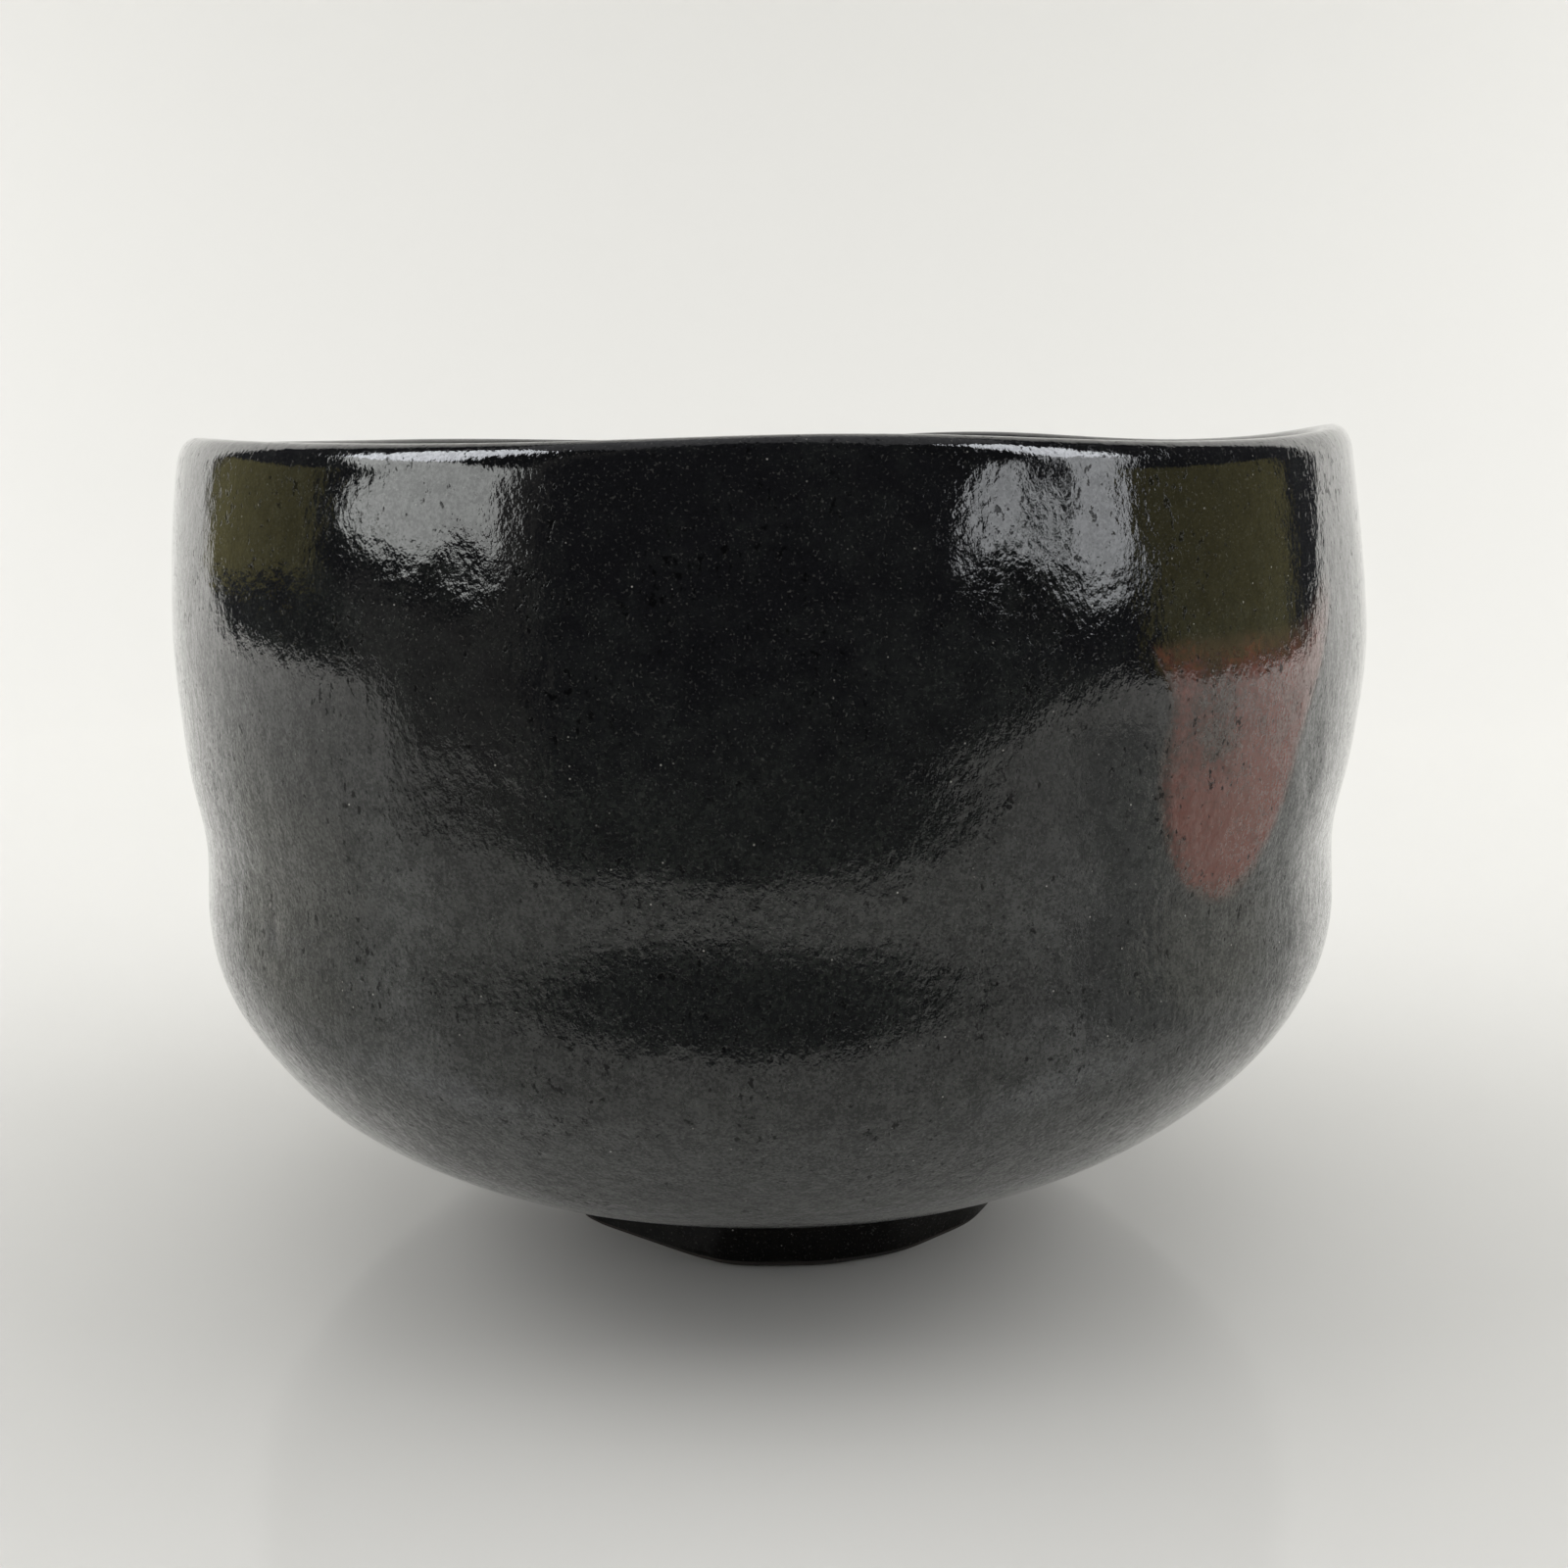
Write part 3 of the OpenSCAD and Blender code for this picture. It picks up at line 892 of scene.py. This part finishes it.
def glaze(name, gloss, hazy, relief=0.05, streak=0.75, pits=1.0, red=False, thin_below=(42.0, 77.0),
          thin=None, ior=1.28, coat_ior=1.5):
    """A glaze. gloss and hazy are the roughness where it is clear and where it is hazy, relief is the
    height of the pebbles in drawn millimetres, and the glaze goes from thin to thick between the two
    heights of thin_below. thin is its colour where it is thin, ior and coat_ior are the index of its
    body and of its clear coat, and red lets the flash show."""
    material = bpy.data.materials.new(name)
    n = blank(material)
    place = n.add("ShaderNodeTexCoord").outputs["Object"]
    height = n.add("ShaderNodeSeparateXYZ", {0: place}).outputs[2]
    thinness = n.ramp(height, thin_below[0] * MM, thin_below[1] * MM, 0.75, 0.0)
    peel = n.add("ShaderNodeGroup", node_tree=CITRUS_SKIN)
    n.fill(peel, {"Place": place, "Streak": streak, "Pits": pits, "Coarse": thinness})
    clouds = n.add("ShaderNodeGroup", node_tree=BLACK_CLOUDS)
    n.fill(clouds, {"Place": place, "Thinness": thinness})
    if thin:
        n.fill(clouds, {"Thin": thin})
    color = clouds.outputs["Color"]
    if red:
        color = redden(n, place, color)
    color = n.mix(n.math("MULTIPLY", peel.outputs["Pits"], 0.8), color, (0.0015, 0.0015, 0.0015, 1))
    rough = n.math("ADD", n.math("MULTIPLY", clouds.outputs["Haze"], hazy - gloss), gloss)
    bump = n.add("ShaderNodeBump", {
        "Strength": 1.0, "Distance": relief * MM, "Height": peel.outputs["Height"],
    }).outputs[0]
    shader = n.add("ShaderNodeBsdfPrincipled", {
        "Base Color": color, "Roughness": rough, "IOR": ior, "Normal": bump,
        "Coat Weight": peel.outputs["Gloss"], "Coat Roughness": gloss, "Coat IOR": coat_ior,
        "Coat Normal": bump,
    })
    n.add("ShaderNodeOutputMaterial", {"Surface": shader.outputs[0]})
    return material


def redden(n, place, black):
    """The flash over the black: its redness attribute, broken up by noise of 2.4 and of 0.5 mm, steps
    from black through oxblood to brick red, and black pits are left open in it."""
    stored = n.add("ShaderNodeAttribute", attribute_name="redness").outputs["Fac"]
    ragged = n.math("ADD", n.math("MULTIPLY", n.noise(place, 2.4, 4.0, 0.65), 0.7),
                    n.math("MULTIPLY", n.noise(place, 0.5, 3.0, 0.65), 0.7))
    torn = n.math("ADD", stored, n.math("MULTIPLY", n.math("SUBTRACT", ragged, 0.7), 1.7))
    oxblood = n.mix(n.ramp(stored, 0.05, 0.35), black, (0.034, 0.022, 0.016, 1))
    shown = n.math("MULTIPLY", n.ramp(torn, 0.15, 1.1), n.ramp(stored, 0.02, 0.3))
    return n.mix(shown, oxblood, (0.108, 0.030, 0.020, 1))


OUTER_GLAZE = glaze("black_glaze_outside", 0.04, 0.20, red=True)
FLASH_GLAZE = glaze("red_flash_glaze", 0.04, 0.20, red=True)
LINING_GLAZE = glaze(
    "black_glaze_lining", 0.10, 0.26, relief=0.03, streak=1.0, pits=0.5, thin_below=(10.0, 30.0),
)
# The foot's coats are a darker copy of the black glaze: near black where thin, with low indices that
# weaken its reflections. This is painted shade for the bowl's shadow round its foot.
SHADED_FOOT_GLAZE = glaze(
    "black_glaze_foot_shaded", 0.22, 0.45, streak=1.0, thin=(0.006, 0.005, 0.004, 1), ior=1.12, coat_ior=1.2,
)
print("glazes:", [made.name for made in (OUTER_GLAZE, FLASH_GLAZE, LINING_GLAZE, SHADED_FOOT_GLAZE)])

# %% [markdown]
# ## Bare clay
# The clay under a black raku glaze is coarse and full of sand, fired to a dark smoky brown. It shows
# only where the foot ring meets the table.

# %% Clay material


def bare_clay(name):
    """Dark brown clay: sand of half a millimetre in colour and bump, with smoke clouds over it."""
    material = bpy.data.materials.new(name)
    n = blank(material)
    place = n.add("ShaderNodeTexCoord").outputs["Object"]
    sand = n.noise(place, 0.5, 4.0, 0.7)
    smoke = n.ramp(n.noise(place, 9.0, 3.0), 0.35, 0.7)
    color = n.mix(smoke, (0.030, 0.022, 0.017, 1), (0.014, 0.012, 0.010, 1))
    color = n.mix(n.ramp(sand, 0.58, 0.78), color, (0.10, 0.075, 0.055, 1))
    bump = n.add("ShaderNodeBump", {"Strength": 0.8, "Distance": 0.08 * MM, "Height": sand}).outputs[0]
    shader = n.add("ShaderNodeBsdfPrincipled", {"Base Color": color, "Roughness": 0.85, "Normal": bump})
    n.add("ShaderNodeOutputMaterial", {"Surface": shader.outputs[0]})
    return material


CLAY = bare_clay("smoked_clay")
print("clay:", CLAY.name)

# %% [markdown]
# ## Put the pieces on the frame
# Each piece rides on the bowl's one body, takes its own material, and stands for the solid of the same
# part, which is then not shown.

# %% Ride, dress and replace
PIECES = [
    (clay_body, "clay_body", "clay", CLAY),
    (clay_ring, "foot_ring", "clay", CLAY),
    (outer_coat, "outer_glaze", "black_glaze", OUTER_GLAZE),
    (red_flash, "red_patch", "red_glaze", FLASH_GLAZE),
    (lining, "inner_glaze", "lining_glaze", LINING_GLAZE),
    (foot_coat, "foot_glaze", "foot_glaze", SHADED_FOOT_GLAZE),
    (well_coat, "well_glaze", "foot_glaze", SHADED_FOOT_GLAZE),
]
for piece, node, slot, material in PIECES:
    piece.data.materials.append(material)
    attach(piece, "root")
    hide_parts(node)
print("pieces:", [piece.name for piece, *_ in PIECES])

# %% [markdown]
# ## The table and the sweep
# The bowl stands on a pale board, polished near the bowl. Behind it the board curves up as a sweep, so
# that the picture has no hard horizon. A glossy black bowl is mostly a mirror, so what stands round it
# matters as much as its glaze: the board shows in its lower half. The board is clear from below, and
# clear under the foot, so that the foot and its well can be looked at and lit from there.

# %% Floor and backdrop
SWEEP_START, SWEEP_R, SWEEP_TOP = 0.26, 0.30, 1.4
FLOOR_HALF, FLOOR_FRONT = 0.88, -0.88
# The board lies this far under the foot, so that the two faces don't share one plane
HAIR = 0.00003
HOLE_R = 22.5
# The polish fades out over these distances from the foot's middle
POLISH_ENDS = (0.14, 0.34)


def stage_sheet(name, line, half):
    """A flat sheet carried sideways along a line of [y, z] points."""
    left = np.column_stack([np.full(len(line), -half), line])
    right = np.column_stack([np.full(len(line), half), line])
    mesh = bpy.data.meshes.new(name)
    i = np.arange(len(line) - 1)
    faces = np.stack([i, i + len(line), i + len(line) + 1, i + 1], 1)
    mesh.from_pydata(np.vstack([left, right]).tolist(), [], faces.tolist())
    mesh.shade_smooth()
    sheet = placed(name, mesh)
    return sheet


def pale_board(name, color, polish, roughness):
    """Matt pale card under a gloss that reflects as glass of index polish does, and that fades out away
    from the bowl. It is clear from below and inside HOLE_R of the foot's middle."""
    material = bpy.data.materials.new(name)
    n = blank(material)
    matt = n.add("ShaderNodeBsdfDiffuse", {"Color": color})
    gloss = n.add("ShaderNodeBsdfGlossy", {"Color": (1, 1, 1, 1), "Roughness": roughness})
    place = n.add("ShaderNodeTexCoord").outputs["Object"]
    foot_middle = (FOOT_SHIFT * MM, 0, 0)
    distance = n.add("ShaderNodeVectorMath", {0: place, 1: foot_middle}, operation="DISTANCE")
    from_foot = distance.outputs["Value"]
    near = n.ramp(from_foot, *POLISH_ENDS, 1.0, 0.0)
    polished = n.math("MULTIPLY", near, n.add("ShaderNodeFresnel", {"IOR": polish}).outputs[0])
    both = n.add("ShaderNodeMixShader", {0: polished, 1: matt.outputs[0], 2: gloss.outputs[0]})
    hole = n.ramp(from_foot, HOLE_R * MM, (HOLE_R + 0.1) * MM, 1.0, 0.0)
    below = n.math("MAXIMUM", n.add("ShaderNodeNewGeometry").outputs["Backfacing"], hole)
    clear = n.add("ShaderNodeBsdfTransparent")
    seen = n.add("ShaderNodeMixShader", {0: below, 1: both.outputs[0], 2: clear.outputs[0]})
    n.add("ShaderNodeOutputMaterial", {"Surface": seen.outputs[0]})
    return material


cove = np.radians(np.linspace(0, 90, 25))
sweep_line = np.vstack([
    [[FLOOR_FRONT, 0.0], [SWEEP_START, 0.0]],
    np.stack([SWEEP_START + SWEEP_R * np.sin(cove), SWEEP_R * (1 - np.cos(cove))], 1)[1:],
    [[SWEEP_START + SWEEP_R, SWEEP_TOP]],
]) - [0.0, HAIR]
floor = stage_sheet("floor", sweep_line, FLOOR_HALF)
floor.data.materials.append(pale_board("pale_board", (0.74, 0.733, 0.705, 1), 1.42, 0.08))
print(f"{floor.name}: {floor.dimensions.x:.2f} by {floor.dimensions.y:.2f} m")

# %% [markdown]
# ## Light
# A soft ceiling and a soft lamp on each side light the table, so that the bowl shades its own foot, and
# a small lamp under the board lights the foot's underside. Two tall windows stand in front, one on each
# side, with leaves outside them, a curtain in the right one, and a fanlight above each that shows as a
# bright thread on the lip. Between them stands a dim wall for the person holding the camera, whose glow
# is painted shade for the shadow they cast on the table, which is why the middle of the bowl stays black;
# beyond them stand olive walls. A glossy black thing shows its surroundings as a mirror does, so they are
# cards that only reflections see. Most are stretches of a wall that rings the bowl, at a bearing counted
# to the right of the front, and a few lie flat, among them a grey card on the table that is painted
# shade.

# %% Soft lamps
# Name, place, the point it faces, size and radiance
LAMPS = [
    ("ceiling", (0.0, 0.0, 1.2), (0.0, 0.0, 0.0), 1.6, 1.12),
    ("lamp_left", (-0.9, 0.05, 0.5), (0.0, 0.05, 0.3), 1.0, 3.1),
    ("lamp_right", (0.9, 0.05, 0.5), (0.0, 0.05, 0.3), 1.0, 3.1),
    ("lamp_below", (0.0, 0.0, -0.06), (0.0, 0.0, 0.0), 0.08, 9.0),
]


def soft_lamp(name, place, towards, size, radiance):
    """A square lamp that lights the table and the clay but doesn't show in reflections."""
    light = bpy.data.lights.new(name, "AREA")
    light.size = size
    light.energy = radiance * math.pi * size**2
    lamp = placed(name, light)
    lamp.location = place
    lamp.rotation_euler = (Vector(towards) - Vector(place)).to_track_quat("-Z", "Y").to_euler()
    lamp.visible_camera = lamp.visible_glossy = False
    print(f"{name}: {light.energy:.1f} W")


for lamp_plan in LAMPS:
    soft_lamp(*lamp_plan)

# %% Cards for the reflections
WINDOW_AT = 2.5
LIP_AT = 0.065


def from_front(bearing, distance):
    """Directions [x, y] times distance, for bearings in degrees to the right of the front."""
    b = np.radians(bearing)
    return np.stack([np.sin(b), -np.cos(b)], -1) * np.asarray(distance)[..., None]


def rise(elevation, distance):
    """Height at this distance of a line that climbs from the lip at this many degrees."""
    return LIP_AT + np.tan(np.radians(elevation)) * distance


def glowing(name, glow, torn):
    """A light of its own: glow is its colour times its brightness, and torn is how far blotches of
    leaves in front of it dim it."""
    material = bpy.data.materials.new(name)
    n = blank(material)
    place = n.add("ShaderNodeTexCoord").outputs["Object"]
    leaves = n.ramp(n.noise(place, 70.0, 4.0, 0.7), 0.60, 0.66)
    kept = n.math("SUBTRACT", 1.0, n.math("MULTIPLY", leaves, torn))
    brightest = max(glow)
    tint = (*(c / brightest for c in glow), 1)
    strength = n.math("MULTIPLY", kept, brightest)
    emission = n.add("ShaderNodeEmission", {"Color": tint, "Strength": strength})
    n.add("ShaderNodeOutputMaterial", {"Surface": emission.outputs[0]})
    return material


def card(name, bearings, radius, bottom, top, glow, lean=0.0, torn=0.0, reach=None):
    """A card that glossy rays alone can see: a wall that stands along these bearings. radius, bottom and
    top are numbers or one number for each bearing. lean moves its upper edge this many degrees to the
    right, as one number or one for each bearing, and reach is the radius of its upper edge, where that
    differs."""
    count = len(bearings)
    radius = np.broadcast_to(radius, count)
    low = np.column_stack([from_front(bearings, radius), np.broadcast_to(bottom, count)])
    far = radius if reach is None else np.full(count, reach)
    high = np.column_stack([from_front(bearings + lean, far), np.broadcast_to(top, count)])
    i = np.arange(count - 1)
    faces = np.stack([i, i + 1, i + 1 + count, i + count], 1)
    mesh = bpy.data.meshes.new(name)
    mesh.from_pydata(np.vstack([low, high]).tolist(), [], faces.tolist())
    mesh.materials.append(glowing(name, glow, torn))
    wall = placed(name, mesh)
    wall.visible_camera = wall.visible_diffuse = wall.visible_shadow = False
    wall.visible_transmission = wall.visible_volume_scatter = False
    print(f"{name}: bearings {bearings[0]:.0f} to {bearings[-1]:.0f}")


print(f"a line that climbs 10 degrees from the lip is {rise(10.0, WINDOW_AT):.2f} m high at the windows")

# %% Windows and fanlights
SKY_LEFT, SKY_RIGHT = (4.0, 4.1, 4.0), (3.6, 3.7, 3.8)
SKY_ABOVE = (7.6, 7.8, 8.2)
OLIVE_GLOW = (0.34, 0.31, 0.15)
# DIM_GLOW is the curtain's dark and the painted shade of the dim wall; GREY_GLOW is lighter painted shade
DIM_GLOW, GREY_GLOW = (0.08, 0.08, 0.09), (0.20, 0.195, 0.19)
# The second glow here is painted shade, the grey of a shaded stretch of the table at the right
CEILING_GLOW, SHADE_CARD_GLOW = (0.45, 0.45, 0.47), (0.50, 0.50, 0.49)
# Elevations, in degrees from the lip: the top of a window's lower part, the bar under its fanlight, and
# the top of the fanlight
PANES_TOP, BAR, SKY_TOP = 17.0, 37.0, 61.0
LEAVES_LOW, LEAVES_HIGH = 0.85, 0.6


def window(side, sill, low, middle, high, sky):
    """A tall window as three cards one above the other. sill is [bearings, elevations] of its ragged
    foot; low, middle and high are the bearings of its two sides at the sill, at PANES_TOP and above
    BAR."""
    across = np.linspace(0.0, 1.0, 13)
    foot, panes, top = (a + (b - a) * across for a, b in (low, middle, high))
    ragged = rise(np.interp(foot, *sill), WINDOW_AT)
    panes_top, bar, sky_top = (rise(level, WINDOW_AT) for level in (PANES_TOP, BAR, SKY_TOP))
    card("window_" + side, foot, WINDOW_AT, ragged, panes_top, sky, panes - foot, LEAVES_LOW)
    card("panes_" + side, panes, WINDOW_AT, panes_top, bar, sky, top - panes, LEAVES_HIGH)
    card("fanlight_" + side, top, WINDOW_AT, bar, sky_top, SKY_ABOVE)


left_sill = [[-78, -68, -62, -57, -52, -48, -44, -41], [9.0, 7.8, 7.4, 8.8, 10.0, 8.6, 8.8, 9.6]]
right_sill = [[33, 36, 41, 47, 52, 57, 62, 68], [9.2, 9.0, 10.0, 11.6, 9.6, 6.6, 6.8, 8.2]]
window("left", left_sill, (-78, -42), (-70.5, -36.5), (-96, -66), SKY_LEFT)
window("right", right_sill, (33.5, 68.5), (41, 69.5), (61, 84), SKY_RIGHT)

# %% Curtain, ceiling and olive walls
CURTAIN_AT = 0.9 * WINDOW_AT
CEILING_AT = 1.2
OLIVE_AT, OLIVE_TOP = 0.55, 0.246
curtain_bearings = np.array([49.5, 52.0, 53.5, 56.5])
curtain_foot = rise(np.array([16, 12.0, 11.5, 16]), CURTAIN_AT)
card("curtain", curtain_bearings, CURTAIN_AT, curtain_foot, rise(BAR, CURTAIN_AT), DIM_GLOW, 4.0)
card("ceiling_glow", np.linspace(-180, 180, 25), 0.6, CEILING_AT, CEILING_AT, CEILING_GLOW, reach=0.02)
olive_bearings = np.linspace(-116, -80, 9)
olive_foot = np.interp(olive_bearings, [-116, -100, -80], [0.064, 0.074, 0.096])
card("olive_wall_left", olive_bearings, OLIVE_AT, olive_foot, OLIVE_TOP, OLIVE_GLOW)
card("olive_wall_right", np.linspace(68, 103, 9), OLIVE_AT, 0.043, OLIVE_TOP, OLIVE_GLOW)

# %% The dim middle: the person at the camera, and painted shade on the table
# Bearing and distance in metres of the dim wall, near in the middle and far off at the sides. It stands
# for the person holding the camera, and its glow is painted shade for the shadow they cast on the table.
DIM_PLAN = np.array([
    [-74, 1.30], [-66, 0.50], [-57, 0.25], [-39, 0.20], [-28, 0.165], [0, 0.145],
    [20, 0.165], [30, 0.225], [41, 0.32], [56, 0.66], [66, 1.30],
])
dim_bearings = np.linspace(-74, 66, 71)
dim_radius = np.interp(dim_bearings, DIM_PLAN[:, 0], DIM_PLAN[:, 1])
between_windows = (dim_bearings > -37) & (dim_bearings < 31)
# Between the windows it is a full wall. Under them it ends 4.5 degrees up, as seen from the bowl's side.
dim_top = np.where(between_windows, 0.6, rise(4.5, dim_radius - 0.058))
# A flat grey card on the table at the right, seen only in reflections: painted shade that dims the table
# there
SHADE_CARD_Z = 0.0004
card("table_shade_card", np.linspace(49, 64, 5), 0.10, SHADE_CARD_Z, SHADE_CARD_Z, SHADE_CARD_GLOW, reach=0.30)
# The dim wall's glow is painted shade on the table, and the grey wall on the left is lighter painted
# shade
for name, part, glow in (
    ("dim_wall", dim_bearings > -34, DIM_GLOW),
    ("grey_wall", dim_bearings <= -32, GREY_GLOW),
):
    card(name, dim_bearings[part], dim_radius[part], 0.0, dim_top[part], glow)

# %% World


def room():
    """Pale to the camera, dark to the table, which the lamps light, and dim to reflections."""
    world = bpy.data.worlds.new("room")
    n = blank(world)
    path = n.add("ShaderNodeLightPath")
    dim = n.mix(path.outputs["Is Glossy Ray"], (0.02, 0.02, 0.02, 1), (0.06, 0.06, 0.065, 1))
    seen = n.mix(path.outputs["Is Camera Ray"], dim, (0.92, 0.92, 0.91, 1))
    background = n.add("ShaderNodeBackground", {"Color": seen, "Strength": 1.0})
    n.add("ShaderNodeOutputWorld", {"Surface": background.outputs[0]})
    return world


bpy.context.scene.world = room()
print("world:", bpy.context.scene.world.name)

# %% [markdown]
# ## Camera
# The camera stands close in front, level with the lip and tipped down, as someone would who holds a
# phone a hand's length from the bowl. So near, the lip looks flat and the foot is seen from above.

# %% Camera
CAMERA_AT = Vector((1.15, -176.2, 79.3)) * MM
CAMERA_TIP = 11.6
LENS = 38.8

camera = placed("camera", bpy.data.cameras.new("camera"))
camera.data.lens = LENS
camera.data.sensor_width = 36.0
camera.data.clip_start = 0.005
camera.data.clip_end = 50.0
camera.location = CAMERA_AT
camera.rotation_euler = (math.radians(90 - CAMERA_TIP), 0, 0)
bpy.context.scene.camera = camera
bpy.context.scene.view_settings.view_transform = "Standard"
print("camera at", [round(c, 4) for c in camera.location])

# %% [markdown]
